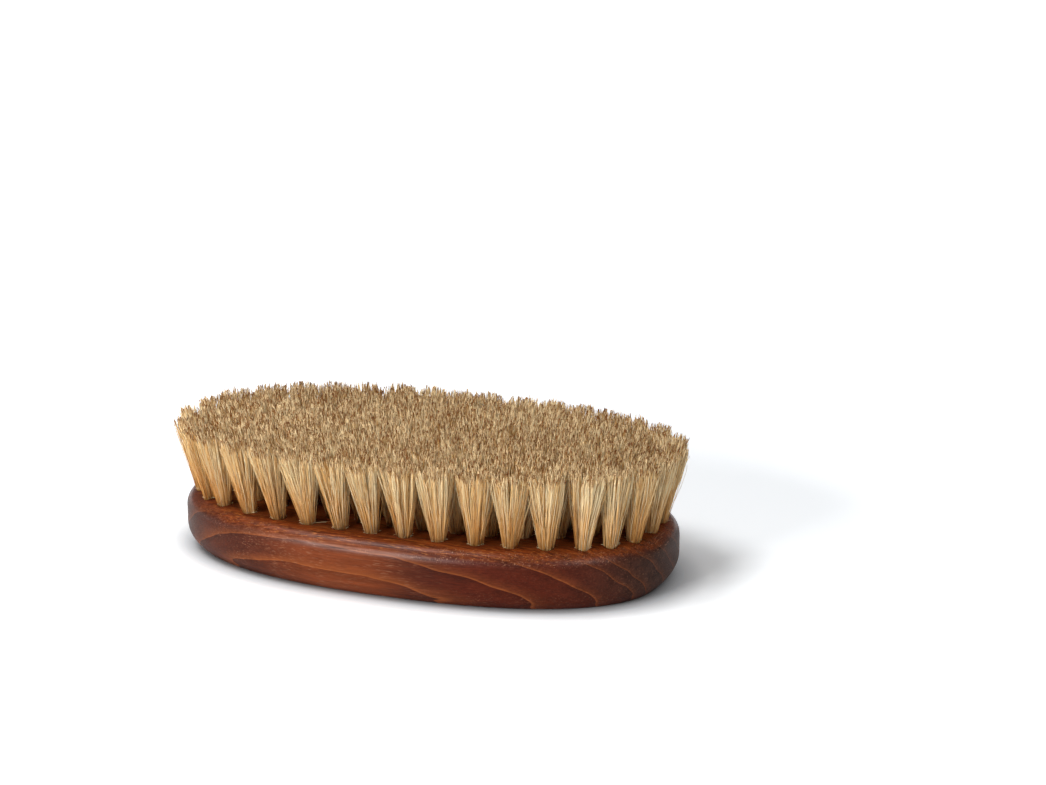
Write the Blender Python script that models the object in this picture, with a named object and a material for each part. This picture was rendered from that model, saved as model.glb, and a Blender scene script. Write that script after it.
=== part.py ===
"""Felt brush: an oval wooden block whose face is set with leaning tufts of bristle.

The brush lies on its flat back with the bristles up. Units are metres and +Z is up. The
origin is under the middle of the back, +X runs along the length, and -Y is the front.

The tufts stand in rows that follow the oval, one inside the other. The top of the block is
sliced into backing strips, one for each quarter of a row and one for the whole middle row.
The strips lie in a shallow bed, and each carries its own bristles.
"""

import math

import bmesh
import bpy
from mathutils import Matrix, Vector

# Wooden block
LENGTH = 0.120
WIDTH = 0.064
THICKNESS = 0.014
OVAL_POWER = 2.36  # 2 is an ellipse, and a higher power fills out the shoulders
BACK_CHAMFER = 0.0033
BACK_CHAMFER_ROUND = 0.0024  # where the chamfer runs into the side
FACE_ROUND = 0.003

# Rows of tufts, counted from the edge to the middle
ROW_COUNT = 5
EDGE_TO_OUTER_ROW = 0.0062
TUFT_STEP = 0.0074

# Tufts, each of a few locks of bristle that fan out from one hole
HOLE_DIAMETER = 0.0033
BRISTLE_HEIGHT = 0.018  # from the face of the block to the trimmed tips
OUTWARD_LEAN = 0.0037  # how far the outer row's tips stand outside its holes
TIP_SPREAD = 0.0037  # how far a tuft spreads at its tips where no neighbour stops it
TIP_GAP = 0.00045  # between the tips of neighbouring tufts
LOCKS_PER_TUFT = 3
LOCK_SPLIT = 0.12  # how far a lock stands off the tuft's middle, as a share of its reach

# Backing strips and their bed
BED_WALL_TO_ROW = 0.0026  # from the wall of the bed to the middle of the outer row
STRIP_THICKNESS = 0.0023
WOOD_UNDER_ROOTS = 0.0008  # between the bristle roots and the underside of a strip
FIT_GAP = 0.0004
STRIP_POINTS = 44

WELD = 1e-6
SMOOTH_ANGLE = math.radians(35)
WOOD = (0.23, 0.055, 0.02)
STRIP_WOOD = (0.19, 0.04, 0.014)
BRISTLE = (0.64, 0.47, 0.26)

# The last row lies half a step from the middle line, so that all rows are a step apart
ROW_STEP = (WIDTH / 2 - EDGE_TO_OUTER_ROW) / (ROW_COUNT - 0.5)
EDGE_TO_OUTER_TIPS = EDGE_TO_OUTER_ROW - OUTWARD_LEAN
BED_DEPTH = STRIP_THICKNESS + FIT_GAP
ROOT_HEIGHT = THICKNESS - STRIP_THICKNESS + WOOD_UNDER_ROOTS
TIP_HEIGHT = THICKNESS + BRISTLE_HEIGHT
BLOCK_POINTS = 2 * STRIP_POINTS  # so that each corner of a strip faces a corner of the bed


def clear_scene():
    for old in list(bpy.data.objects):
        bpy.data.objects.remove(old)


def new_collection(name):
    collection = bpy.data.collections.new(name)
    bpy.context.scene.collection.children.link(collection)
    return collection


def new_material(name, colour, roughness):
    material = bpy.data.materials.new(name)
    material.use_nodes = True
    shader = material.node_tree.nodes["Principled BSDF"]
    shader.inputs["Base Color"].default_value = (*colour, 1)
    shader.inputs["Roughness"].default_value = roughness
    shader.inputs["Metallic"].default_value = 0
    return material


def power_of(value, exponent):
    """A power of the value that keeps its sign."""
    return math.copysign(abs(value) ** exponent, value)


def oval_point(inset, angle):
    """A point of the block's outline, drawn in by inset on every side."""
    x = (LENGTH / 2 - inset) * power_of(math.cos(angle), 2 / OVAL_POWER)
    y = (WIDTH / 2 - inset) * power_of(math.sin(angle), 2 / OVAL_POWER)
    return Vector((x, y))


def oval_walk(inset):
    """Fine steps right round an oval, anticlockwise from +X, each with the way gone so far."""
    steps = 1440
    points = [oval_point(inset, 2 * math.pi * i / steps) for i in range(steps + 1)]
    gone = [0]
    for here, there in zip(points, points[1:]):
        gone.append(gone[-1] + (there - here).length)
    return points, gone


def along_oval(inset, shares):
    """The points that lie at these rising shares of the way round an oval."""
    points, gone = oval_walk(inset)
    found = []
    step = 0
    for share in shares:
        target = gone[-1] * share
        while gone[step + 1] < target:
            step += 1
        part = (target - gone[step]) / (gone[step + 1] - gone[step])
        found.append(points[step].lerp(points[step + 1], part))
    return found


def oval_plate(name, inset, bottom, top, point_count, collection):
    """An upright oval solid between two heights, with one face on each end."""
    curve = bpy.data.curves.new(name, "CURVE")
    curve.dimensions = "2D"
    curve.fill_mode = "BOTH"
    curve.extrude = (top - bottom) / 2
    spline = curve.splines.new("POLY")
    spline.points.add(point_count - 1)
    for i, point in enumerate(spline.points):
        x, y = oval_point(inset, 2 * math.pi * i / point_count)
        point.co = (x, y, 0, 1)
    spline.use_cyclic_u = True
    outline = bpy.data.objects.new(name, curve)
    collection.objects.link(outline)
    depsgraph = bpy.context.evaluated_depsgraph_get()
    mesh = bpy.data.meshes.new_from_object(outline.evaluated_get(depsgraph))
    bpy.data.objects.remove(outline)

    shape = bmesh.new()
    shape.from_mesh(mesh)
    bmesh.ops.remove_doubles(shape, verts=shape.verts, dist=WELD)
    shape.normal_update()
    seams = [e for e in shape.edges if all(abs(f.normal.z) > 0.99 for f in e.link_faces)]
    bmesh.ops.dissolve_edges(shape, edges=seams)
    bmesh.ops.recalc_face_normals(shape, faces=shape.faces)
    shape.to_mesh(mesh)
    shape.free()

    plate = bpy.data.objects.new(name, mesh)
    plate.location.z = (top + bottom) / 2
    collection.objects.link(plate)
    return plate


def add_boolean(target, other, operation):
    modifier = target.modifiers.new(operation.title() + " " + other.name, "BOOLEAN")
    modifier.operation = operation
    modifier.object = other
    modifier.material_mode = "TRANSFER"


def hide_cutter(cutter):
    cutter.hide_render = True
    cutter.display_type = "WIRE"


def rim_edges(shape, height):
    """The edges that lie flat at one height."""
    return [e for e in shape.edges if all(abs(v.co.z - height) < WELD for v in e.verts)]


def bevel_rim(shape, height, width, segments):
    bmesh.ops.bevel(
        shape,
        geom=rim_edges(shape, height),
        offset=width,
        offset_type="OFFSET",
        segments=segments,
        profile=0.5,
        affect="EDGES",
        material=-1,
    )


def make_block(parts, cutters):
    """The oval block, with a wide chamfer round its back and a bed in its face."""
    block = oval_plate("wooden_block", 0, 0, THICKNESS, BLOCK_POINTS, parts)
    back = -THICKNESS / 2
    face = THICKNESS / 2
    shape = bmesh.new()
    shape.from_mesh(block.data)
    bevel_rim(shape, back, BACK_CHAMFER, 1)
    bevel_rim(shape, back + BACK_CHAMFER, BACK_CHAMFER_ROUND, 4)
    bevel_rim(shape, face, FACE_ROUND, 4)
    shape.to_mesh(block.data)
    shape.free()
    block.data.shade_smooth()
    block.data.set_sharp_from_angle(angle=SMOOTH_ANGLE)
    block.data.materials.append(new_material("stained_beech", WOOD, 0.35))

    bed_inset = EDGE_TO_OUTER_ROW - BED_WALL_TO_ROW
    bed_floor = THICKNESS - BED_DEPTH
    bed = oval_plate("bed", bed_inset, bed_floor, THICKNESS + BED_DEPTH, BLOCK_POINTS, cutters)
    hide_cutter(bed)
    add_boolean(block, bed, "DIFFERENCE")


def row_inset(row):
    """From the outline to the middle of a row."""
    return EDGE_TO_OUTER_ROW + row * ROW_STEP


def way_round(row):
    points, gone = oval_walk(row_inset(row))
    return gone[-1]


def tufts_in_half_row(row):
    """A count whose parity changes from row to row, so that neighbouring rows are staggered."""
    odd = row % 2
    return odd + 2 * round((way_round(row) / 2 / TUFT_STEP - odd) / 2)


def tufts_in_middle_row():
    """An odd count, which makes its front and back tufts alternate evenly."""
    return 1 + 2 * round((way_round(ROW_COUNT - 1) / TUFT_STEP - 1) / 2)


def tip_of(hole):
    """Where a tuft's middle comes out at the trimmed tips: all tufts fan out from the centre."""
    along = (LENGTH / 2 - EDGE_TO_OUTER_TIPS) / (LENGTH / 2 - EDGE_TO_OUTER_ROW)
    across = (WIDTH / 2 - EDGE_TO_OUTER_TIPS) / (WIDTH / 2 - EDGE_TO_OUTER_ROW)
    return Vector((hole.x * along, hole.y * across))


class RowPiece:
    """A piece of a row: its holes and the box in which its backing strip lies."""

    def __init__(self, name, row, holes, near, far):
        self.name = name
        self.row = row
        self.holes = holes
        self.near = near
        self.far = far


def quarter_pieces(row):
    """The four quarters of a row, parted along the middle line and between two tufts."""
    count = tufts_in_half_row(row)
    half = along_oval(row_inset(row), [(i + 0.5) / count / 2 for i in range(count)])
    on_right = count // 2
    parting = (half[on_right - 1].x + half[on_right].x) / 2
    pieces = []
    for front_back, y_side in (("front", -1), ("back", 1)):
        for left_right, x_side in (("left", -1), ("right", 1)):
            name = f"tuft_row_{row + 1}_{front_back}_{left_right}"
            quarter = half[:on_right] if x_side > 0 else half[on_right:]
            holes = [Vector((hole.x, y_side * hole.y)) for hole in quarter]
            near = Vector((parting + x_side * FIT_GAP / 2, y_side * FIT_GAP / 2))
            far = Vector((x_side * LENGTH / 2, y_side * WIDTH / 2))
            pieces.append(RowPiece(name, row, holes, near, far))
    return pieces


def middle_piece(row):
    """The whole middle row, whose tufts start a quarter step from the end and so alternate."""
    count = tufts_in_middle_row()
    holes = along_oval(row_inset(row), [(i + 0.25) / count for i in range(count)])
    corner = Vector((LENGTH / 2, WIDTH / 2))
    return RowPiece(f"tuft_row_{row + 1}_middle", row, holes, -corner, corner)


def plan_rows():
    pieces = []
    for row in range(ROW_COUNT - 1):
        pieces += quarter_pieces(row)
    pieces.append(middle_piece(ROW_COUNT - 1))
    return pieces


def tip_reach(tip, all_tips, direction):
    """How far a tuft spreads one way at its tips before it nearly meets a neighbour."""
    reach = TIP_SPREAD
    for other in all_tips:
        apart = other - tip
        facing = direction.dot(apart)
        if facing > 0:
            reach = min(reach, (apart.length - TIP_GAP) / 2 * apart.length / facing)
    return reach


def lock_section(middle, height, directions, reaches):
    """The four corners of a lock: at the tuft's middle, to both sides and at the outside."""
    corners = [Vector((0, 0))] + [d * reach for d, reach in zip(directions, reaches)]
    outside = corners[2]
    return [Vector((*(middle + c.lerp(outside, LOCK_SPLIT)), height)) for c in corners]


def add_lock(shape, hole, turn, all_tips):
    """One four-sided lock of bristles, from its root in the backing to its trimmed tip."""
    tip = tip_of(hole)
    lean = tip - hole
    outward = math.atan2(lean.y, lean.x) + turn
    spread = math.pi / LOCKS_PER_TUFT
    angles = (outward - spread, outward, outward + spread)
    directions = [Vector((math.cos(angle), math.sin(angle))) for angle in angles]
    root_reaches = [HOLE_DIAMETER / 2] * len(directions)
    tip_reaches = [tip_reach(tip, all_tips, direction) for direction in directions]
    root = lock_section(hole, ROOT_HEIGHT, directions, root_reaches)
    end = lock_section(tip, TIP_HEIGHT, directions, tip_reaches)
    rim = [shape.verts.new(corner) for corner in root]
    grown = bmesh.ops.extrude_edge_only(shape, edges=shape.faces.new(rim).edges)
    top = [v for v in grown["geom"] if isinstance(v, bmesh.types.BMVert)]
    for vertex in top:
        vertex.co = end[root.index(vertex.co)]
    bmesh.ops.contextual_create(shape, geom=top)


def make_locks(piece, all_tips, collection):
    """All the bristles of one piece of a row, as loose locks."""
    shape = bmesh.new()
    for hole in piece.holes:
        for i in range(LOCKS_PER_TUFT):
            add_lock(shape, hole, 2 * math.pi * i / LOCKS_PER_TUFT, all_tips)
    bmesh.ops.recalc_face_normals(shape, faces=shape.faces)
    name = piece.name + "_bristles"
    mesh = bpy.data.meshes.new(name)
    shape.to_mesh(mesh)
    shape.free()
    mesh.materials.append(new_material(name, BRISTLE, 0.55))
    locks = bpy.data.objects.new(name, mesh)
    collection.objects.link(locks)
    hide_cutter(locks)
    return locks


def make_strip(piece, collection):
    """A box over the piece's stretch of the bed, which its row's ovals then cut to shape."""
    size = piece.far - piece.near
    shape = bmesh.new()
    matrix = Matrix.Diagonal((abs(size.x), abs(size.y), STRIP_THICKNESS, 1))
    bmesh.ops.create_cube(shape, size=1, matrix=matrix)
    mesh = bpy.data.meshes.new(piece.name)
    shape.to_mesh(mesh)
    shape.free()
    mesh.materials.append(new_material(piece.name + "_backing", STRIP_WOOD, 0.4))
    strip = bpy.data.objects.new(piece.name, mesh)
    strip.location = (*piece.near.lerp(piece.far, 0.5), THICKNESS - STRIP_THICKNESS / 2)
    collection.objects.link(strip)
    return strip


def make_row_cutters(row, cutters):
    """The ovals that bound a row's strips: one outside and, but for the last row, one inside."""
    bottom = THICKNESS - 2 * BED_DEPTH
    top = THICKNESS + BED_DEPTH
    if row == 0:
        outer_inset = EDGE_TO_OUTER_ROW - BED_WALL_TO_ROW + FIT_GAP
    else:
        outer_inset = row_inset(row - 0.5) + FIT_GAP / 2
    outer = oval_plate(f"row_{row + 1}_rim", outer_inset, bottom, top, STRIP_POINTS, cutters)
    hide_cutter(outer)
    if row == ROW_COUNT - 1:
        return outer, None
    inner_inset = row_inset(row + 0.5) - FIT_GAP / 2
    inner = oval_plate(f"row_{row + 1}_core", inner_inset, bottom, top, STRIP_POINTS, cutters)
    hide_cutter(inner)
    return outer, inner


def make_rows(parts, cutters):
    """Every piece of a row: its backing strip with its locks of bristles fused into it."""
    pieces = plan_rows()
    all_tips = [tip_of(hole) for piece in pieces for hole in piece.holes]
    bounds = [make_row_cutters(row, cutters) for row in range(ROW_COUNT)]
    for piece in pieces:
        strip = make_strip(piece, parts)
        outer, inner = bounds[piece.row]
        add_boolean(strip, outer, "INTERSECT")
        if inner:
            add_boolean(strip, inner, "DIFFERENCE")
        add_boolean(strip, make_locks(piece, all_tips, cutters), "UNION")


def main():
    clear_scene()
    parts = new_collection("felt_brush")
    cutters = new_collection("cutters")
    make_block(parts, cutters)
    make_rows(parts, cutters)


main()
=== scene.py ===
"""Felt brush, dressed: stained and lacquered beech, drilled for tufts of natural bristle.

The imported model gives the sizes. The block is remade finer with every hole drilled, and each
piece of a row of tufts gets its own hairs.
"""

import math
from collections import namedtuple

import bmesh
import bpy
import numpy as np
from bpy.props import FloatProperty, FloatVectorProperty, IntProperty, PointerProperty
from bpy.types import Operator, Panel, PropertyGroup
from mathutils import Matrix, Vector


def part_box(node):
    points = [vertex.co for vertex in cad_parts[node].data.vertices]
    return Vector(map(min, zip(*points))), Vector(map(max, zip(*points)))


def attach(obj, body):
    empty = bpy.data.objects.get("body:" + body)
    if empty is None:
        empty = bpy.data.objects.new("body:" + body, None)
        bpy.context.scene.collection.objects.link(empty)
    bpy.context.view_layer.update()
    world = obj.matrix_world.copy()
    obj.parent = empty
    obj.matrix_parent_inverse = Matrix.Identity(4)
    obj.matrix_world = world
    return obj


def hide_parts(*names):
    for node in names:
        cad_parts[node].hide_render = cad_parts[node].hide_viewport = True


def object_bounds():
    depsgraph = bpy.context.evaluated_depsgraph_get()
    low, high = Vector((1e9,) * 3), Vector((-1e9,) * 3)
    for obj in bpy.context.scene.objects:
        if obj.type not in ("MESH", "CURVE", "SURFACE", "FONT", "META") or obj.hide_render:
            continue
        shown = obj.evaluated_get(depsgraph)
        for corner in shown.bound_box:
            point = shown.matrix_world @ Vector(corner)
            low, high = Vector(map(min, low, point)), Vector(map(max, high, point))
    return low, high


bl_info = {
    "name": "Felt Brush",
    "version": (1, 0, 0),
    "blender": (4, 5, 0),
    "location": "View3D > Sidebar > Brush",
    "description": "Builds an oval felt brush of stained beech and natural bristle",
    "category": "Object",
}

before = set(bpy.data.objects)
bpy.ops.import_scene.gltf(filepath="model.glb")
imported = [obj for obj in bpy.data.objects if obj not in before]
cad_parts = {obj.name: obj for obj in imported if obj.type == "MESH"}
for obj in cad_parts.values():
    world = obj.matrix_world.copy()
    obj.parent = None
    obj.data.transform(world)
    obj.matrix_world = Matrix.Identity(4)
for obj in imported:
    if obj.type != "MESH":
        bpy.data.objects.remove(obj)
BLOCK_LOW, BLOCK_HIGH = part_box("wooden_block")
BRUSH_LOW, BRUSH_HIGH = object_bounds()
MM = 0.001
SENSOR_MM = 36


class BlockSettings(PropertyGroup):
    """Sizes of the wooden block."""

    length: FloatProperty(
        name="Length",
        description="Length of the block",
        default=BLOCK_HIGH.x - BLOCK_LOW.x,
        unit="LENGTH",
    )
    width: FloatProperty(
        name="Width",
        description="Width of the block",
        default=BLOCK_HIGH.y - BLOCK_LOW.y,
        unit="LENGTH",
    )
    thickness: FloatProperty(
        name="Thickness",
        description="From the flat back to the face that holds the tufts",
        default=BLOCK_HIGH.z - BLOCK_LOW.z,
        unit="LENGTH",
    )
    oval_power: FloatProperty(
        name="Oval power",
        description="2 is an ellipse, and a higher power fills out the shoulders",
        default=2.36,
    )
    outline_points: IntProperty(
        name="Outline points",
        description="Points round the outline of the block",
        default=240,
    )
    back_chamfer: FloatProperty(
        name="Back chamfer",
        description="Width and height of the chamfer round the back",
        default=3.3 * MM,
        unit="LENGTH",
    )
    chamfer_round: FloatProperty(
        name="Chamfer rounding",
        description="Where the chamfer runs into the side",
        default=2.4 * MM,
        unit="LENGTH",
    )
    back_round: FloatProperty(
        name="Back rounding",
        description="Where the chamfer meets the flat back",
        default=0.35 * MM,
        unit="LENGTH",
    )
    face_round: FloatProperty(
        name="Face rounding",
        description="Where the side rolls into the face",
        default=4.2 * MM,
        unit="LENGTH",
    )
    hole_depth: FloatProperty(
        name="Hole depth",
        description="Open depth of a drilled hole above the folded ends of its hairs",
        default=2.2 * MM,
        unit="LENGTH",
    )


class TuftSettings(PropertyGroup):
    """Where the tufts stand and how their hairs run."""

    row_count: IntProperty(
        name="Rows",
        description="Rows from the edge to the middle",
        default=5,
    )
    edge_to_outer_row: FloatProperty(
        name="Edge to outer row",
        description="From the edge of the block to the middle of the outer holes",
        default=6.2 * MM,
        unit="LENGTH",
    )
    foot_oval: FloatVectorProperty(
        name="Outer foot oval",
        description="Half length and half width of the oval that the outer holes stand on",
        size=2,
        default=(55.6 * MM, 26.0 * MM),
        unit="LENGTH",
    )
    foot_power: FloatProperty(
        name="Outer foot power",
        description="How far the outer foot oval fills out its shoulders",
        default=2.68,
    )
    tuft_step: FloatProperty(
        name="Tuft step",
        description="Between neighbouring holes of a row",
        default=7.4 * MM,
        unit="LENGTH",
    )
    hole_diameter: FloatProperty(
        name="Hole diameter",
        description="Diameter of a drilled hole",
        default=3.3 * MM,
        unit="LENGTH",
    )
    outward_lean: FloatProperty(
        name="Outward lean",
        description="How far the outer row's tips stand outside its holes",
        default=3.7 * MM,
        unit="LENGTH",
    )
    tip_spread: FloatProperty(
        name="Tip spread",
        description="How far a tuft spreads at its tips where no neighbour stops it",
        default=3.7 * MM,
        unit="LENGTH",
    )
    hairs: IntProperty(
        name="Hairs",
        description="Hairs in one tuft",
        default=434,
    )
    hair_diameter: FloatProperty(
        name="Hair diameter",
        description="Diameter of a hair at its root",
        default=0.15 * MM,
        unit="LENGTH",
    )
    clumps: IntProperty(
        name="Clumps",
        description="Little groups that the hairs of a tuft draw together in",
        default=100,
    )
    locks: IntProperty(
        name="Locks",
        description="Larger groups that a tuft parts into at its tips",
        default=8,
    )
    wave: FloatProperty(
        name="Wave",
        description="How far a hair bows out of its straight line",
        default=0.24 * MM,
        unit="LENGTH",
    )
    fuzz: IntProperty(
        name="Fuzz",
        description="Short broken hairs round the foot of one tuft, a few of them longer",
        default=12,
    )
    trim_unevenness: FloatProperty(
        name="Trim unevenness",
        description="How much the trimmed tips differ in height",
        default=0.8 * MM,
        unit="LENGTH",
    )


class WoodSettings(PropertyGroup):
    """Colours of the stained beech."""

    face: FloatVectorProperty(
        name="Face",
        description="Stain on the flat face and back",
        default=(0.185, 0.038, 0.0075),
        subtype="COLOR",
    )
    face_dark: FloatVectorProperty(
        name="Dark face",
        description="Stain between the lighter streaks of the face and back",
        default=(0.082, 0.0155, 0.0045),
        subtype="COLOR",
    )
    side: FloatVectorProperty(
        name="Side",
        description="Stain on the sides",
        default=(0.076, 0.018, 0.009),
        subtype="COLOR",
    )
    # Partly the wood's own colour, partly a painted highlight where the key light falls on the
    # side left of the middle.
    side_warm_and_lit: FloatVectorProperty(
        name="Warm side",
        description="Lighter wood left of the middle of the sides",
        default=(0.168, 0.038, 0.012),
        subtype="COLOR",
    )
    # Partly the wood's own colour, partly painted shade on the side towards the right end, away
    # from the key light.
    side_dark_and_shaded: FloatVectorProperty(
        name="Dark side",
        description="Darker wood towards the right end",
        default=(0.074, 0.012, 0.005),
        subtype="COLOR",
    )
    end_grain: FloatVectorProperty(
        name="End grain",
        description="Greyer stain on the ends",
        default=(0.056, 0.024, 0.016),
        subtype="COLOR",
    )
    ring: FloatVectorProperty(
        name="Growth ring",
        description="Lighter wood along each growth ring",
        default=(0.29, 0.080, 0.022),
        subtype="COLOR",
    )
    scratch: FloatVectorProperty(
        name="Scratch",
        description="Fine scratches, flecks and specks where the stain is thin",
        default=(0.40, 0.19, 0.11),
        subtype="COLOR",
    )
    glint: FloatVectorProperty(
        name="Glint",
        description="Bright short fibres of the face",
        default=(0.50, 0.16, 0.035),
        subtype="COLOR",
    )


class BristleSettings(PropertyGroup):
    """Colours of the bristles, from the darkest hair to the palest."""

    dark: FloatVectorProperty(
        name="Dark hair",
        description="The few dark hairs",
        default=(0.085, 0.050, 0.026),
        subtype="COLOR",
    )
    brown: FloatVectorProperty(
        name="Brown hair",
        description="Darker hairs among the fair ones",
        default=(0.60, 0.31, 0.10),
        subtype="COLOR",
    )
    straw: FloatVectorProperty(
        name="Straw hair",
        description="Most of the hairs",
        default=(0.93, 0.61, 0.255),
        subtype="COLOR",
    )
    cream: FloatVectorProperty(
        name="Cream hair",
        description="The palest hairs",
        default=(0.99, 0.84, 0.54),
        subtype="COLOR",
    )


class StageSettings(PropertyGroup):
    """The camera and the light."""

    azimuth: FloatProperty(
        name="Azimuth",
        description="How far the camera stands round to the right of the front",
        default=math.radians(20.55),
        subtype="ANGLE",
    )
    elevation: FloatProperty(
        name="Elevation",
        description="How far the camera looks down",
        default=math.radians(15.86),
        subtype="ANGLE",
    )
    distance: FloatProperty(
        name="Distance",
        description="From the camera to the point on the floor that it looks at",
        default=0.654,
        unit="LENGTH",
    )
    aim: FloatVectorProperty(
        name="Aim",
        description="The point on the floor that the camera looks at",
        default=(-0.0284, 0.1389, 0.0),
        subtype="TRANSLATION",
    )
    focal_length: FloatProperty(
        name="Focal length",
        description=f"Focal length on a sensor {SENSOR_MM} mm wide, in millimetres",
        default=75.7,
    )
    key_power: FloatProperty(
        name="Key light",
        description="Power of the soft light to the left of the camera, in watts",
        default=7.8,
    )
    fill_power: FloatProperty(
        name="Fill light",
        description="Power of the weaker soft light to the right of the camera, in watts",
        default=2.4,
    )
    top_power: FloatProperty(
        name="Top light",
        description="Power of the soft light above the brush, in watts",
        default=3.7,
    )
    sky: FloatProperty(
        name="Sky",
        description="Strength of the even light from all round",
        default=0.15,
    )
    floor: FloatVectorProperty(
        name="Floor",
        description="Colour of the plain floor",
        default=(0.88, 0.88, 0.88),
        subtype="COLOR",
    )
    floor_shown: FloatVectorProperty(
        name="Floor shown",
        description="Colour of the floor where it is seen, pale enough to show white",
        default=(1.55, 1.59, 1.63),
        subtype="COLOR",
        soft_max=2.0,
    )


class BrushSettings(PropertyGroup):
    """All settings of the felt brush."""

    block: PointerProperty(type=BlockSettings)
    tufts: PointerProperty(type=TuftSettings)
    wood: PointerProperty(type=WoodSettings)
    bristle: PointerProperty(type=BristleSettings)
    stage: PointerProperty(type=StageSettings)


class Wire:
    """The output of a shader node. Arithmetic on it adds Math nodes."""

    def __init__(self, tree, socket=None):
        self.tree = tree
        self.socket = socket

    def node(self, kind, settings, inputs, output=0):
        """Adds a node, sets it up, then gives its inputs numbers, colours or other wires."""
        node = self.tree.nodes.new(kind)
        for name, value in settings.items():
            if name == "stops":
                set_stops(node.color_ramp.elements, value)
            elif name == "points":
                set_points(node.mapping, value)
            else:
                setattr(node, name, value)
        for name, value in inputs.items():
            if isinstance(value, Wire):
                self.tree.links.new(value.socket, node.inputs[name])
            else:
                node.inputs[name].default_value = value
        return Wire(self.tree, node.outputs[output])

    def axis(self, name):
        """One axis of a vector."""
        return self.node("ShaderNodeSeparateXYZ", {}, {"Vector": self}, name)

    def math(self, operation, *values):
        """A Math node on the values given, which leaves out the wire itself."""
        return self.node("ShaderNodeMath", {"operation": operation}, dict(enumerate(values)))

    def vector_math(self, operation, *values, output=0):
        """A Vector Math node on the values given, which leaves out the wire itself."""
        settings = {"operation": operation}
        return self.node("ShaderNodeVectorMath", settings, dict(enumerate(values)), output)

    def blend(self, factor, low, high, blend_type="MIX"):
        """Mixes two colours, each a wire or a tuple."""
        settings = {"data_type": "RGBA", "blend_type": blend_type}
        inputs = {"Factor": factor, 6: colour(low), 7: colour(high)}
        return self.node("ShaderNodeMix", settings, inputs, 2)

    def ramp(self, low, high):
        """0 up to low, 1 from high on and smooth between them."""
        settings = {"interpolation_type": "SMOOTHSTEP"}
        inputs = {"Value": self, "From Min": low, "From Max": high, "To Min": 0.0, "To Max": 1.0}
        return self.node("ShaderNodeMapRange", settings, inputs)

    def __add__(self, other):
        return self.math("ADD", self, other)

    def __sub__(self, other):
        return self.math("SUBTRACT", self, other)

    def __rsub__(self, other):
        return self.math("SUBTRACT", other, self)

    def __mul__(self, other):
        return self.math("MULTIPLY", self, other)

    def __truediv__(self, other):
        return self.math("DIVIDE", self, other)

    def __pow__(self, other):
        return self.math("POWER", self, other)

    __radd__ = __add__
    __rmul__ = __mul__


def colour(value):
    """A colour for a socket: a wire as it is, or a tuple made opaque."""
    return value if isinstance(value, Wire) else (*value, 1.0)


def set_stops(elements, stops):
    """The stops of a colour ramp, each a place and a colour."""
    while len(elements) > 1:
        elements.remove(elements[-1])
    for i, (place, value) in enumerate(stops):
        element = elements[0] if i == 0 else elements.new(place)
        element.position = place
        element.color = (*value, 1.0)


def set_points(mapping, points):
    """The points of a curve, joined by straight lines."""
    curve = mapping.curves[0]
    while len(curve.points) > 2:
        curve.points.remove(curve.points[1])
    curve.points[0].location = points[0]
    curve.points[1].location = points[-1]
    for place in points[1:-1]:
        curve.points.new(*place)
    for point in curve.points:
        point.handle_type = "VECTOR"
    mapping.update()


def new_material(name):
    """An empty material, and a wire from which its nodes are started."""
    material = bpy.data.materials.new(name)
    material.use_nodes = True
    material.node_tree.nodes.clear()
    return material, Wire(material.node_tree)


def finish_material(start, shader):
    """Gives a material's surface its shader."""
    output = start.tree.nodes.new("ShaderNodeOutputMaterial")
    start.tree.links.new(shader.socket, output.inputs["Surface"])


def grain(start, place_mm, scale, detail, offset=0.0):
    """Noise drawn out by a scale for each axis, from 0 to 1."""
    drawn = start.vector_math("MULTIPLY", place_mm, scale)
    moved = start.vector_math("ADD", drawn, (offset, offset, offset))
    return start.node("ShaderNodeTexNoise", {}, {"Vector": moved, "Scale": 1.0, "Detail": detail})


# Growth rings of the board. Its years lie aslant, so that each shows on the face and the sides.
RING_NORMAL = (0.064, 0.708, 0.703)
RING_LINES_MM = (
    -27.5, -23.3, -19.0, -14.8, -9.8, -4.7, -2.1, 2.5, 7.1, 12.0, 16.2, 21.3, 25.4, 30.3, 35.0,
)
RING_WOBBLE_MM = 1.2


def ring_phase(start, place_mm):
    """How far a point lies from one growth ring to the next, from 0 to 1."""
    wobble = grain(start, place_mm, (0.10, 0.25, 0.25), 0.6) - 0.5
    depth = start.vector_math("DOT_PRODUCT", place_mm, RING_NORMAL, output=1)
    depth = depth + wobble * RING_WOBBLE_MM
    low, high = RING_LINES_MM[0], RING_LINES_MM[-1]
    years = len(RING_LINES_MM) - 1
    points = [((line - low) / (high - low), i / years) for i, line in enumerate(RING_LINES_MM)]
    share = (depth - low) / (high - low)
    age = start.node("ShaderNodeFloatCurve", {"points": points}, {"Value": share}) * years
    return start.math("FRACT", age)


Zones = namedtuple("Zones", "flat end rim top_rim warm heart left left_end")


def scratches(start, place_mm):
    """Short fine scratches that run aslant over the rims."""
    turned = start.node(
        "ShaderNodeMapping",
        {"vector_type": "POINT"},
        {"Vector": place_mm, "Rotation": (0.75, 0.0, 0.5), "Scale": (3.4, 0.26, 3.4)},
    )
    lines = start.node("ShaderNodeTexNoise", {}, {"Vector": turned, "Scale": 1.0, "Detail": 1.0})
    return lines.ramp(0.60, 0.72)


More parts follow.
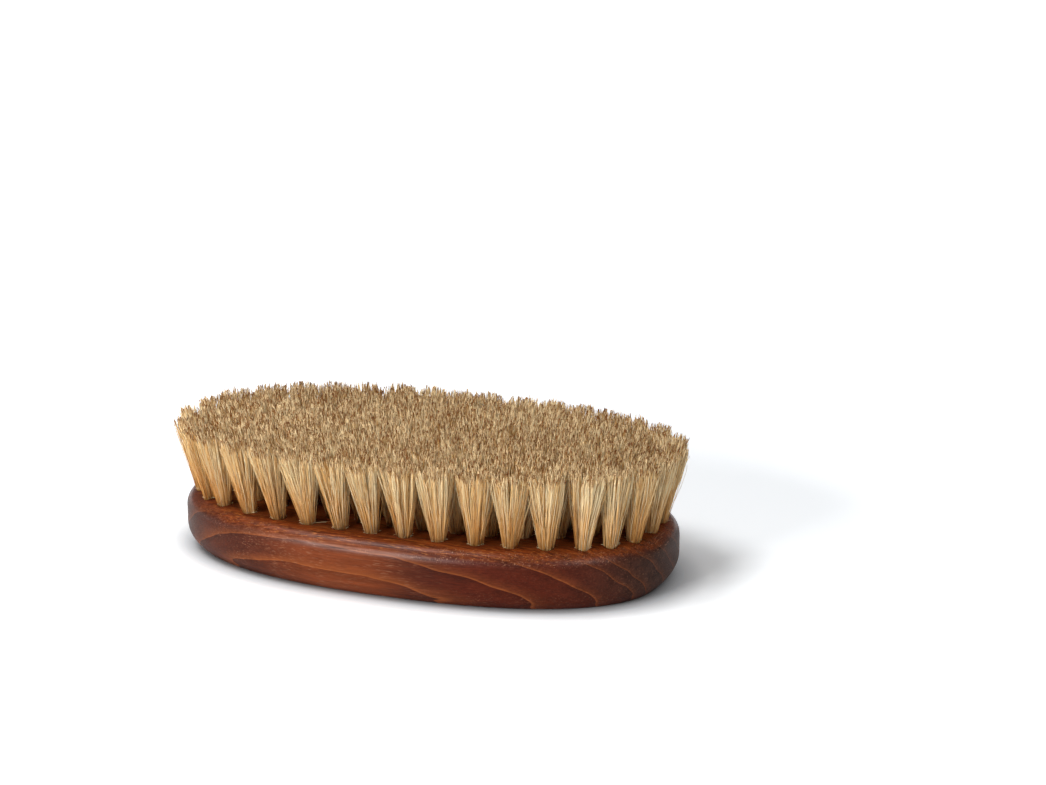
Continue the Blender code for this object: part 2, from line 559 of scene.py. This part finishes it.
def block_zones(start, place_mm):
    """Masks for parts of the block whose colour differs, from 0 to 1. The lighter part left of
    the middle and the darker right part are partly painted light and shade.
    """
    normal = start.node("ShaderNodeTexCoord", {}, {}, "Normal")
    along = place_mm.axis("X")
    rise = normal.axis("Z")
    facing = start.vector_math("ABSOLUTE", normal)
    upright = facing.axis("Z")
    wander = (grain(start, place_mm, (0.12, 0.6, 0.6), 2.0, 5.0) - 0.5) * 0.5
    on_face = (rise + wander).ramp(0.34, 0.70)
    on_back = (rise * -1).ramp(0.80, 0.95)
    flat = start.math("MAXIMUM", on_face, on_back)
    rim = upright.ramp(0.10, 0.45) * (1 - upright.ramp(0.80, 0.98))
    return Zones(
        flat=flat,
        end=facing.axis("X").ramp(0.30, 0.95) * (1 - flat),
        rim=rim,
        top_rim=rim * rise.ramp(0.0, 0.1),
        warm=along.ramp(-36.0, -12.0) * (1 - along.ramp(-4.0, 14.0)),
        heart=along.ramp(0.0, 24.0),
        left=1 - along.ramp(-50.0, -22.0),
        left_end=(1 - along.ramp(-57.0, -36.0)) * on_face,
    )


def beech_material(wood):
    """Beech stained red-brown under a satin lacquer."""
    material, start = new_material("stained_beech_lacquer")
    place = start.node("ShaderNodeTexCoord", {}, {}, "Object")
    place_mm = start.vector_math("MULTIPLY", place, (1 / MM, 1 / MM, 1 / MM))
    flat, end, rim, top_rim, warm, heart, left, left_end = block_zones(start, place_mm)

    phase = ring_phase(start, place_mm)
    early = (1 - phase.ramp(0.0, 0.5)) ** 1.6
    line = 1 - phase.ramp(0.01, 0.08)
    late = phase.ramp(0.70, 1.0)

    broad = grain(start, place_mm, (0.03, 0.45, 0.45), 2.0).ramp(0.3, 0.7)
    flame = grain(start, place_mm, (0.08, 1.9, 1.9), 4.0, 23.0).ramp(0.32, 0.66)
    streak = grain(start, place_mm, (0.08, 3.0, 3.0), 3.0, 7.0).ramp(0.33, 0.67)
    fleck = grain(start, place_mm, (0.42, 5.4, 5.4), 1.0, 31.0).ramp(0.58, 0.70)
    pore = grain(start, place_mm, (0.40, 6.0, 6.0), 1.0, 53.0).ramp(0.57, 0.68)
    speck = grain(start, place_mm, (2.6, 2.6, 2.6), 1.0, 71.0).ramp(0.60, 0.72)
    mottle = grain(start, place_mm, (1.1, 1.1, 1.1), 3.0, 17.0).ramp(0.3, 0.7)
    patch = grain(start, place_mm, (0.16, 0.16, 0.16), 1.0, 90.0).ramp(0.42, 0.62)
    scratch = scratches(start, place_mm) * (patch * 0.6 + heart * 0.7)

    stain = start.blend(flame, wood.face_dark, wood.face)
    stain = start.blend(left_end * 0.75, stain, wood.side)
    # The sides are lighter left of the middle and darker towards the right: partly the wood's
    # colour, partly painted light and shade from the key light on the left.
    sides = start.blend(heart, start.blend(warm, wood.side, wood.side_warm_and_lit), wood.side_dark_and_shaded)
    base = start.blend(end, start.blend(flat, sides, stain), wood.end_grain)
    glow = early * (0.44 - heart * 0.24 - left * 0.16) + line * (0.26 + heart * 0.18)
    base = start.blend(glow * (1 - flat * 0.55) * (1 - end * 0.45), base, wood.ring)
    shade = 0.72 + broad * 0.24 + streak * (0.28 + flat * 0.10) + end * (mottle - 0.5) * 0.3
    shade = shade - late * 0.20 - left * 0.08 - pore * (0.16 + flat * 0.18)
    base = start.node("ShaderNodeVectorMath", {"operation": "SCALE"}, {0: base, "Scale": shade})
    base = start.blend(fleck * flat * (0.5 - left_end * 0.4), base, wood.glint)
    dash = fleck * (1 - flat) * (1 - end) * (0.10 + patch * 0.2) * (1 - heart * 0.85)
    thin = dash + end * speck * 0.20 + (rim * 0.2 + top_rim * 0.3) * scratch
    base = start.blend(thin, base, wood.scratch)

    rough = 0.31 + streak * 0.08 + pore * 0.12 + end * 0.06
    sheen = 0.02 + top_rim * (1 - end) * (0.20 + streak * 0.30)
    bump = start.node(
        "ShaderNodeBump",
        {},
        {"Strength": 0.3, "Distance": 0.00008, "Height": streak * 0.5 - pore - scratch * 0.5},
    )
    shader = start.node(
        "ShaderNodeBsdfPrincipled",
        {},
        {
            "Base Color": base,
            "Roughness": rough,
            "Specular IOR Level": 0.05,
            "Coat Weight": sheen,
            "Coat Roughness": 0.32,
            "Normal": bump,
        },
    )
    finish_material(start, shader)
    return material


def bristle_material(bristle):
    """Natural hair. Its UV map holds a hair's tone across and the way up the hair."""
    material, start = new_material("natural_bristle")
    uv = start.node("ShaderNodeUVMap", {"uv_map": "OFBake"}, {})
    tone = uv.axis("X")
    way_up = uv.axis("Y")
    stops = [
        (0.0, bristle.dark),
        (0.28, bristle.brown),
        (0.60, bristle.straw),
        (1.0, bristle.cream),
    ]
    # Hairs are paler up their length: partly their own colour, partly painted light on the
    # brighter upper part of the tufts.
    paling = tone + way_up.ramp(0.30, 0.75) * 0.12
    hair = start.node("ShaderNodeValToRGB", {"stops": stops}, {"Fac": paling})
    # A hair is warmer and darker at its root, partly its own colour and partly painted shade low
    # in the tuft, but the palest tones are short hairs that aren't.
    shaft = way_up.ramp(0.05, 0.58)
    broken = tone.ramp(0.97, 0.98)
    root = start.blend(1.0, hair, (0.86, 0.66, 0.46), "MULTIPLY")
    hair = start.blend(start.math("MAXIMUM", shaft, broken), root, hair)
    # The trimmed ends are painted darker as shade over the top of the tufts: the palest only a
    # little, as dry hair, and all the rest brown.
    tip = way_up.ramp(0.78, 0.94)
    dry = start.blend(1.0, hair, (0.95, 0.84, 0.73), "MULTIPLY")
    shaded_tip = start.blend(1.0, hair, (0.25, 0.13, 0.066), "MULTIPLY")
    hair = start.blend(tip, hair, start.blend(1 - tone.ramp(0.62, 0.90), dry, shaded_tip))
    shader = start.node(
        "ShaderNodeBsdfPrincipled",
        {},
        {"Base Color": hair, "Roughness": 0.42, "Specular IOR Level": 0.10},
    )
    finish_material(start, shader)
    return material


# How far the painted contact shadow under the edge of the block reaches, and where the floor
# turns plain white.
CONTACT_SHADOW = 8.5 * MM
FLOOR_FADE = (0.10, 0.22)


def floor_material(stage):
    """A plain matt floor that shows white where no shadow falls, with a painted contact shadow
    along the edge of the block.
    """
    material, start = new_material("plain_floor")
    seen = start.node("ShaderNodeLightPath", {}, {}, "Is Camera Ray")
    mirrored = start.node("ShaderNodeLightPath", {}, {}, "Is Glossy Ray")
    refracted = start.node("ShaderNodeLightPath", {}, {}, "Is Transmission Ray")
    shown = seen + mirrored + refracted
    place = start.node("ShaderNodeTexCoord", {}, {}, "Object")
    far = start.vector_math("LENGTH", place, output=1).ramp(*FLOOR_FADE)
    reach = {"Distance": CONTACT_SHADOW}
    # Ambient occlusion darkens the floor's colour near the block: a painted contact shadow.
    painted_contact_shadow = start.node("ShaderNodeAmbientOcclusion", {"samples": 16}, reach, "AO")
    shown_colour = start.blend(painted_contact_shadow, (0, 0, 0), stage.floor_shown)
    shader = start.node(
        "ShaderNodeBsdfPrincipled",
        {},
        {
            "Base Color": start.blend(shown, stage.floor, shown_colour),
            "Roughness": 0.9,
            "Emission Color": start.blend(shown * far, (0, 0, 0), (1, 1, 1)),
            "Emission Strength": 1.0,
            "Specular IOR Level": 0.0,
        },
    )
    finish_material(start, shader)
    return material


def power_of(value, exponent):
    """A power of the value that keeps its sign."""
    return math.copysign(abs(value) ** exponent, value)


def oval_point(block, inset, angle):
    """A point of the block's outline, drawn in by inset on every side."""
    x = (block.length / 2 - inset) * power_of(math.cos(angle), 2 / block.oval_power)
    y = (block.width / 2 - inset) * power_of(math.sin(angle), 2 / block.oval_power)
    return Vector((x, y))


WALK_STEPS = 1440


def oval_walk(block, inset):
    """Fine steps right round an oval, anticlockwise from +X, each with the way gone so far."""
    angles = [2 * math.pi * i / WALK_STEPS for i in range(WALK_STEPS + 1)]
    points = [oval_point(block, inset, angle) for angle in angles]
    gone = [0]
    for here, there in zip(points, points[1:]):
        gone.append(gone[-1] + (there - here).length)
    return points, gone


def along_oval(block, inset, shares):
    """The points that lie at these rising shares of the way round an oval."""
    points, gone = oval_walk(block, inset)
    found = []
    step = 0
    for share in shares:
        target = gone[-1] * share
        while gone[step + 1] < target:
            step += 1
        part = (target - gone[step]) / (gone[step + 1] - gone[step])
        found.append(points[step].lerp(points[step + 1], part))
    return found


# How far each tuft of the outer row stands to the right of its even place, from the left end.
OUTER_DRIFT_MM = (
    0.2, 0.6, 0.2, -1.1, -0.6, -0.3, -0.1, 0.6, 0.9, 1.4, 2.1, 3.0, 2.9, 3.0, 3.1, 1.8, 0.7, 0.4,
)
# Share of a foot's move out to the outer oval that its tip makes too.
TIP_FOLLOWS = 0.4
Tuft = namedtuple("Tuft", "foot tip")


def outer_shares(count, way_round):
    """Where the outer row's front half stands, from the right end, in shares of the way round."""
    even = (np.arange(len(OUTER_DRIFT_MM)) + 0.5) / len(OUTER_DRIFT_MM)
    shares = []
    for i in range(count):
        half_way = (i + 0.5) / count
        drift = np.interp(1 - half_way, even, OUTER_DRIFT_MM) * MM
        shares.append(half_way / 2 - drift / way_round)
    return shares


def outer_foot(tufts, place):
    """Where a hole of the outer row is drilled, which is nearer to the rim at the shoulders."""
    along = abs(place.x / tufts.foot_oval[0]) ** tufts.foot_power
    across = abs(place.y / tufts.foot_oval[1]) ** tufts.foot_power
    return place * (along + across) ** (-1 / tufts.foot_power)


def tip_of(block, tufts, place):
    """Where a tuft's middle comes out at the trimmed tips: all tufts fan out from the centre."""
    half_size = Vector((block.length / 2, block.width / 2))
    to_holes = half_size - Vector((1, 1)) * tufts.edge_to_outer_row
    along = 1 + tufts.outward_lean / to_holes.x
    across = 1 + tufts.outward_lean / to_holes.y
    return Vector((place.x * along, place.y * across))


def plan_tuft(block, tufts, place, is_outer):
    """A tuft at its place on the oval of its row."""
    foot = outer_foot(tufts, place) if is_outer else place
    return Tuft(foot, tip_of(block, tufts, place.lerp(foot, TIP_FOLLOWS)))


def plan_rows(block, tufts):
    """The tufts of each CAD node that carries some, by the node's name."""
    row_step = (block.width / 2 - tufts.edge_to_outer_row) / (tufts.row_count - 0.5)
    middle_row = tufts.row_count - 1
    rows = {}
    for row in range(tufts.row_count):
        inset = tufts.edge_to_outer_row + row * row_step
        way_round = oval_walk(block, inset)[1][-1]
        if row == middle_row:
            count = 1 + 2 * round((way_round / tufts.tuft_step - 1) / 2)
            places = along_oval(block, inset, [(i + 0.25) / count for i in range(count)])
            middle = [plan_tuft(block, tufts, place, False) for place in places]
            rows[f"tuft_row_{row + 1}_middle"] = middle
            continue
        odd = row % 2
        count = odd + 2 * round((way_round / 2 / tufts.tuft_step - odd) / 2)
        back = along_oval(block, inset, [(i + 0.5) / count / 2 for i in range(count)])
        front = along_oval(block, inset, outer_shares(count, way_round)) if row == 0 else back
        on_right = count // 2
        for front_back, side, half in (("front", -1, front), ("back", 1, back)):
            for left_right, quarter in (("left", half[on_right:]), ("right", half[:on_right])):
                name = f"tuft_row_{row + 1}_{front_back}_{left_right}"
                places = [Vector((place.x, side * place.y)) for place in quarter]
                rows[name] = [plan_tuft(block, tufts, place, row == 0) for place in places]
    return rows


def mesh_object(name, shape, material):
    """A bmesh as a finished object at the origin."""
    mesh = bpy.data.meshes.new(name)
    shape.to_mesh(mesh)
    shape.free()
    mesh.materials.append(material)
    piece = bpy.data.objects.new(name, mesh)
    bpy.context.scene.collection.objects.link(piece)
    return piece


def bevel_rim(shape, height, width, segments):
    """Bevels the edges that lie flat at one height."""
    rim = [e for e in shape.edges if all(abs(v.co.z - height) < 1e-6 for v in e.verts)]
    bmesh.ops.bevel(
        shape,
        geom=rim,
        offset=width,
        offset_type="OFFSET",
        segments=segments,
        profile=0.5,
        affect="EDGES",
        material=-1,
    )


ROUND_SEGMENTS = 8
BACK_SEGMENTS = 3
FLAT_MARGIN = 0.2 * MM
HOLE_SIDES = 20


def block_body(block):
    """The oval block without its holes."""
    shape = bmesh.new()
    count = block.outline_points
    made = bmesh.ops.create_circle(shape, cap_ends=True, segments=count, radius=1)
    outline = along_oval(block, 0, [i / count for i in range(count)])
    for vertex, point in zip(made["verts"], outline):
        vertex.co = (*point, 0)
    grown = bmesh.ops.extrude_face_region(shape, geom=shape.faces[:])
    top = [v for v in grown["geom"] if isinstance(v, bmesh.types.BMVert)]
    bmesh.ops.translate(shape, verts=top, vec=(0, 0, block.thickness))
    bmesh.ops.recalc_face_normals(shape, faces=shape.faces)
    bevel_rim(shape, 0, block.back_chamfer, 1)
    bevel_rim(shape, block.back_chamfer, block.chamfer_round, ROUND_SEGMENTS)
    bevel_rim(shape, 0, block.back_round, BACK_SEGMENTS)
    bevel_rim(shape, block.thickness, block.face_round, ROUND_SEGMENTS)
    flats = [f for f in shape.faces if abs(f.normal.z) > 0.999]
    bmesh.ops.inset_region(shape, faces=flats, thickness=FLAT_MARGIN, use_even_offset=True)
    return shape


def drill_shape(block, hole_diameter, tufts):
    """Drills for all tufts, each leaning the way its tuft does."""
    shape = bmesh.new()
    bristle_height = BRUSH_HIGH.z - block.thickness
    for tuft in tufts:
        axis = Vector((*(tuft.tip - tuft.foot), bristle_height)).normalized()
        turn = Vector((0, 0, 1)).rotation_difference(axis).to_matrix().to_4x4()
        place = Matrix.Translation((*tuft.foot, block.thickness)) @ turn
        bmesh.ops.create_cone(
            shape,
            cap_ends=True,
            segments=HOLE_SIDES,
            radius1=hole_diameter / 2,
            radius2=hole_diameter / 2,
            depth=2 * block.hole_depth,
            matrix=place,
        )
    return shape


class BRUSH_OT_block(Operator):
    """Make the stained wooden block with its drilled holes"""

    bl_idname = "brush.block"
    bl_label = "Wooden Block"

    def execute(self, context):
        brush = context.scene.felt_brush
        material = beech_material(brush.wood)
        piece = mesh_object("beech_block", block_body(brush.block), material)
        rows = plan_rows(brush.block, brush.tufts)
        all_tufts = [tuft for row in rows.values() for tuft in row]
        drills = drill_shape(brush.block, brush.tufts.hole_diameter, all_tufts)
        drills = mesh_object("drills", drills, material)

        drilling = piece.modifiers.new("Drill", "BOOLEAN")
        drilling.operation = "DIFFERENCE"
        drilling.object = drills
        depsgraph = context.evaluated_depsgraph_get()
        drilled = bpy.data.meshes.new_from_object(piece.evaluated_get(depsgraph))
        piece.modifiers.clear()
        piece.data = drilled
        bpy.data.objects.remove(drills)
        drilled.shade_smooth()
        drilled.set_sharp_from_angle(angle=math.radians(35))

        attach(piece, "root")
        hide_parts("wooden_block")
        return {"FINISHED"}


# Each hair has a point below the wood and some above it, at these shares of its height.
ROOT_DEPTH = 1.6 * MM
HAIR_HEIGHTS = (0.30, 0.62, 0.90, 1.0)
HAIR_LEVELS = 1 + len(HAIR_HEIGHTS)
HAIR_SIDES = 3
HAIR_TAPER = 0.80
# How far the roots fill a hole to each side, as a share of its width.
ROOT_FILL = 0.45
# How far a tuft's tips mix with a neighbour's: 1 stops them halfway between the two.
TIP_OVERLAP = 1.05
# Shares of a tuft's hairs that cross over it, that stray and that end short of the tips.
CROSSING_SHARE = 0.12
STRAY_SHARE = 0.07
SHORT_SHARE = 0.12
# How strongly the hairs of a lock and of a clump draw together.
LOCK_PULL = 0.16
CLUMP_PULL = (0.3, 0.85)
# How far a tuft parts to each side, and how far its tips and a stray hair lie off their place.
PARTING = 0.22 * MM
TUFT_SHIFT = 0.35 * MM
STRAY_SHIFT = 0.6 * MM
# How unevenly the clumps are trimmed, and how much lower a tuft is trimmed at its edge.
CLUMP_UNEVENNESS = 0.38 * MM
EDGE_DROP = 0.6 * MM


def tip_reach(tip, lean, all_tips, directions, spread):
    """How far a tuft's tips spread each way before they are among a neighbour's."""
    outward = np.clip(directions @ lean / max(np.hypot(*lean), 1e-9), 0, 1)
    reach = spread * (1.22 - 0.22 * outward)
    for other in all_tips:
        apart = other - tip
        length = np.hypot(*apart)
        if 0 < length < 3 * spread:
            facing = directions @ apart
            halfway = length * length / 2 / np.maximum(facing, 1e-9)
            meets = np.where(facing > 0, halfway, 2 * spread)
            reach = np.minimum(reach, meets * TIP_OVERLAP)
    return reach


def draw_together(at_tip, groups, pull):
    """Draws hair tips towards the nearest of some of their own number, and says which."""
    nearest = np.argmin(np.linalg.norm(at_tip[:, None] - at_tip[groups][None], axis=2), 1)
    at_tip += (at_tip[groups][nearest] - at_tip) * pull[:, None]
    return nearest


def hair_paths(block, tufts, tuft, all_tips, chance):
    """The points of every hair of one tuft, as hair, level and axis, its tone and its width."""
    count = tufts.hairs
    root_radius = (tufts.hole_diameter - tufts.hair_diameter) * ROOT_FILL
    top = BRUSH_HIGH.z - block.thickness
    foot = np.array(tuft.foot)
    lean = np.array(tuft.tip) - foot

    angle = chance.uniform(0, 2 * math.pi, count)
    share = np.sqrt(chance.uniform(0, 1, count))
    at_root = np.stack([np.cos(angle), np.sin(angle)], 1) * share[:, None]
    crossing = chance.uniform(0, 1, count) < CROSSING_SHARE
    angle_up = angle + chance.normal(0, np.where(crossing, 0.75, 0.2))
    share_up = np.clip(share ** 0.85 + chance.normal(0, 0.10, count), 0, 1.07)
    out = np.stack([np.cos(angle_up), np.sin(angle_up)], 1)
    reach = tip_reach(foot + lean, lean, all_tips, out, tufts.tip_spread)
    at_tip = out * (share_up * reach)[:, None]
    parting = chance.uniform(0, math.pi)
    across = np.array([math.cos(parting), math.sin(parting)])
    at_tip += across * np.sign(at_root @ across)[:, None] * PARTING

    draw_together(at_tip, chance.integers(0, count, tufts.locks), np.full(count, LOCK_PULL))
    pull = chance.uniform(*CLUMP_PULL, count)
    clumped = at_tip.copy()
    clump = draw_together(clumped, chance.integers(0, count, tufts.clumps), pull)
    to_clump = clumped - at_tip
    tone = chance.normal(0, 0.10, tufts.clumps)[clump] + chance.normal(0, 0.04)

    stray = chance.uniform(0, 1, count) < STRAY_SHARE
    at_tip[stray] *= chance.uniform(0.7, 1.25, (stray.sum(), 1))
    at_tip[stray] += chance.normal(0, STRAY_SHIFT, (stray.sum(), 2))
    to_clump[stray] = 0
    at_tip += chance.normal(0, TUFT_SHIFT, 2)

    trim = top - tufts.trim_unevenness * 0.8 + chance.normal(0, tufts.trim_unevenness / 2, count)
    trim += chance.normal(0, CLUMP_UNEVENNESS, tufts.clumps)[clump] - share_up ** 3 * EDGE_DROP
    short = chance.uniform(0, 1, count) < SHORT_SHARE
    trim[short] -= chance.uniform(0.2, 2.4, short.sum()) * MM
    trim = np.minimum(trim, top - 0.02 * MM)
    levels = np.array([-ROOT_DEPTH / top, *HAIR_HEIGHTS])
    bow = chance.normal(0, tufts.wave, (count, 2))
    snake = chance.normal(0, tufts.wave / 2, (count, 2))
    paths = np.zeros((count, HAIR_LEVELS, 3))
    for i, level in enumerate(levels):
        up = max(level, 0)
        open_share = up ** 1.06
        axis = foot + lean * level
        spread_out = at_root * root_radius * (1 - open_share)
        spread_out = spread_out + (at_tip + to_clump * up ** 16) * open_share
        sway = bow * math.sin(math.pi * up) + snake * math.sin(2 * math.pi * up)
        paths[:, i, :2] = axis + spread_out + sway
        paths[:, i, 2] = block.thickness + (trim * level if level > 0 else top * level)
    return paths, hair_tones(tone, chance), chance.uniform(0.8, 1.15, count)


LONG_FUZZ_SHARE = 0.02


def fuzz_paths(block, tufts, tuft, chance):
    """Short broken hairs that lie round the foot of a tuft, with their tones and widths."""
    count = tufts.fuzz
    angle = chance.uniform(0, 2 * math.pi, count)
    out = np.stack([np.cos(angle), np.sin(angle)], 1)
    twist = np.stack([-np.sin(angle), np.cos(angle)], 1) * chance.normal(0, 0.6, (count, 1))
    length = chance.uniform(0.2, 0.7, count) * MM
    long = chance.uniform(0, 1, count) < LONG_FUZZ_SHARE
    length[long] = chance.uniform(2.0, 4.0, long.sum()) * MM
    steep = chance.uniform(0.3, 1.6, count)
    steep[long] = chance.uniform(0.2, 0.7, long.sum())
    start = np.array(tuft.foot) + out * (tufts.hole_diameter / 2 - 0.12 * MM)
    paths = np.zeros((count, HAIR_LEVELS, 3))
    for i in range(HAIR_LEVELS):
        part = i / (HAIR_LEVELS - 1)
        paths[:, i, :2] = start + (out + twist * part) * (length * part)[:, None]
        paths[:, i, 2] = block.thickness + 0.08 * MM + length * steep * part * (1.3 - part)
    return paths, chance.uniform(0.98, 1.0, count), np.where(long, 0.55, 0.5)


# Most tones lie about a middle one. Shares of the hairs are dark, brown or cream instead.
MIDDLE_TONE, TONE_SPREAD = 0.69, 0.15
DARK_SHARE, BROWN_SHARE, CREAM_SHARE = 0.01, 0.12, 0.16


def hair_tones(shift, chance):
    """The tone of each hair, from 0 for dark to 1 for cream, given its clump's shift."""
    count = len(shift)
    tone = chance.normal(MIDDLE_TONE, TONE_SPREAD, count) + shift
    kind = chance.uniform(0, 1, count)
    tone = np.where(kind < BROWN_SHARE, chance.uniform(0.18, 0.40, count), tone)
    tone = np.where(kind > 1 - CREAM_SHARE, chance.uniform(0.84, 0.97, count), tone)
    tone = np.where(kind < DARK_SHARE, chance.uniform(0.02, 0.12, count), tone)
    return np.clip(tone, 0.02, 0.97)


def hair_section(name):
    """The three-sided section of a hair, as a curve of radius 1."""
    section = bpy.data.curves.new(name, "CURVE")
    section.dimensions = "2D"
    spline = section.splines.new("POLY")
    spline.points.add(HAIR_SIDES - 1)
    for i, point in enumerate(spline.points):
        angle = 2 * math.pi * i / HAIR_SIDES
        point.co = (math.cos(angle), math.sin(angle), 0, 1)
    spline.use_cyclic_u = True
    return bpy.data.objects.new(name, section)


def swept_hairs(name, paths, radii, section):
    """A mesh of all the hairs, each swept along its path and closed at both ends."""
    curve = bpy.data.curves.new(name, "CURVE")
    curve.dimensions = "3D"
    curve.bevel_mode = "OBJECT"
    curve.bevel_object = section
    taper = np.linspace(1.0, HAIR_TAPER, HAIR_LEVELS)
    for path, radius in zip(paths, radii):
        spline = curve.splines.new("POLY")
        spline.points.add(HAIR_LEVELS - 1)
        spline.points.foreach_set("co", np.insert(path, 3, 1.0, axis=1).ravel())
        spline.points.foreach_set("radius", taper * radius)
        spline.use_smooth = True
    holder = bpy.data.objects.new(name, curve)
    bpy.context.scene.collection.objects.link(holder)
    depsgraph = bpy.context.evaluated_depsgraph_get()
    mesh = bpy.data.meshes.new_from_object(holder.evaluated_get(depsgraph))
    bpy.data.objects.remove(holder)
    shape = bmesh.new()
    shape.from_mesh(mesh)
    ends = [e for e in shape.edges if e.is_boundary]
    bmesh.ops.holes_fill(shape, edges=ends, sides=HAIR_SIDES)
    bmesh.ops.recalc_face_normals(shape, faces=shape.faces)
    shape.to_mesh(mesh)
    shape.free()
    return mesh


# Small steps on the map from side to side of a hair, so that no face of it is a line there.
SIDE_STEP = (0.008, 0.02)


def paint_hairs(mesh, tones):
    """A UV map whose first axis is a hair's tone and whose second is the way up it."""
    corner = np.empty(len(mesh.loops), int)
    mesh.loops.foreach_get("vertex_index", corner)
    hair, rest = np.divmod(corner, HAIR_LEVELS * HAIR_SIDES)
    level, side = np.divmod(rest, HAIR_SIDES)
    across = tones[hair] + side * SIDE_STEP[0]
    up = 0.01 + 0.95 * level / (HAIR_LEVELS - 1) + SIDE_STEP[1] * (side == 1)
    uv = mesh.uv_layers[0]
    uv.name = "OFBake"
    uv.uv.foreach_set("vector", np.stack([across, up], 1).astype(np.float32).ravel())


class BRUSH_OT_bristles(Operator):
    """Fill every hole with its tuft of hairs"""

    bl_idname = "brush.bristles"
    bl_label = "Bristles"

    def execute(self, context):
        brush = context.scene.felt_brush
        material = bristle_material(brush.bristle)
        section = hair_section("hair_section")
        context.scene.collection.objects.link(section)
        rows = plan_rows(brush.block, brush.tufts)
        all_tips = np.array([tuft.tip for row in rows.values() for tuft in row])
        chance = np.random.default_rng(11)
        for node, row in rows.items():
            grown = [hair_paths(brush.block, brush.tufts, tuft, all_tips, chance) for tuft in row]
            grown += [fuzz_paths(brush.block, brush.tufts, tuft, chance) for tuft in row]
            paths, tones, widths = (np.concatenate(parts) for parts in zip(*grown))
            name = node.replace("tuft", "bristle")
            mesh = swept_hairs(name, paths, widths * brush.tufts.hair_diameter / 2, section)
            paint_hairs(mesh, tones)
            mesh.materials.append(material)
            piece = bpy.data.objects.new(name, mesh)
            context.scene.collection.objects.link(piece)
            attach(piece, "root")
            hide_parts(node)
        bpy.data.objects.remove(section)
        return {"FINISHED"}


def soft_light(name, power, size, place, target):
    """A square area light that looks at a point."""
    lamp = bpy.data.lights.new(name, "AREA")
    lamp.energy = power
    lamp.size = size
    light = bpy.data.objects.new(name, lamp)
    light.location = place
    light.rotation_euler = (Vector(target) - Vector(place)).to_track_quat("-Z", "Y").to_euler()
    bpy.context.scene.collection.objects.link(light)


# Each soft light: the setting that holds its power, its size and its place.
LIGHTS = (
    ("key", "key_power", 0.45, (-0.40, -0.82, 0.26)),
    ("fill", "fill_power", 0.5, (0.62, -0.52, 0.58)),
    ("top", "top_power", 0.38, (-0.36, -0.22, 0.86)),
)


class BRUSH_OT_stage(Operator):
    """Set up the floor, the light and the camera"""

    bl_idname = "brush.stage"
    bl_label = "Stage"

    def execute(self, context):
        stage = context.scene.felt_brush.stage
        shape = bmesh.new()
        bmesh.ops.create_grid(shape, x_segments=1, y_segments=1, size=4.0)
        floor = mesh_object("floor", shape, floor_material(stage))

        middle = (0, 0, BRUSH_HIGH.z / 2)
        for name, power, size, place in LIGHTS:
            soft_light(name, getattr(stage, power), size, place, middle)

        world = bpy.data.worlds.new("even_sky")
        world.use_nodes = True
        background = world.node_tree.nodes["Background"]
        background.inputs["Color"].default_value = (1, 1, 1, 1)
        background.inputs["Strength"].default_value = stage.sky
        context.scene.world = world

        data = bpy.data.cameras.new("camera")
        data.lens = stage.focal_length
        data.sensor_width = SENSOR_MM
        data.clip_start = 0.01
        camera = bpy.data.objects.new("camera", data)
        flat = math.cos(stage.elevation)
        back = Vector((
            math.sin(stage.azimuth) * flat,
            -math.cos(stage.azimuth) * flat,
            math.sin(stage.elevation),
        ))
        camera.location = Vector(stage.aim) + back * stage.distance
        camera.rotation_euler = (-back).to_track_quat("-Z", "Y").to_euler()
        context.scene.collection.objects.link(camera)
        context.scene.camera = camera
        context.scene.view_settings.view_transform = "Standard"
        return {"FINISHED"}


class BRUSH_PT_panel(Panel):
    """Buttons for the pieces of the felt brush"""

    bl_idname = "BRUSH_PT_panel"
    bl_label = "Felt Brush"
    bl_space_type = "VIEW_3D"
    bl_region_type = "UI"
    bl_category = "Brush"

    def draw(self, context):
        for operator in PIECES:
            self.layout.operator(operator.bl_idname)


PIECES = (BRUSH_OT_block, BRUSH_OT_bristles, BRUSH_OT_stage)
CLASSES = (
    BlockSettings,
    TuftSettings,
    WoodSettings,
    BristleSettings,
    StageSettings,
    BrushSettings,
    *PIECES,
    BRUSH_PT_panel,
)


def register():
    for cls in CLASSES:
        bpy.utils.register_class(cls)
    bpy.types.Scene.felt_brush = PointerProperty(type=BrushSettings)


def unregister():
    del bpy.types.Scene.felt_brush
    for cls in reversed(CLASSES):
        bpy.utils.unregister_class(cls)


def main():
    register()
    bpy.ops.brush.block()
    bpy.ops.brush.bristles()
    bpy.ops.brush.stage()


if __name__ == "__main__":
    main()
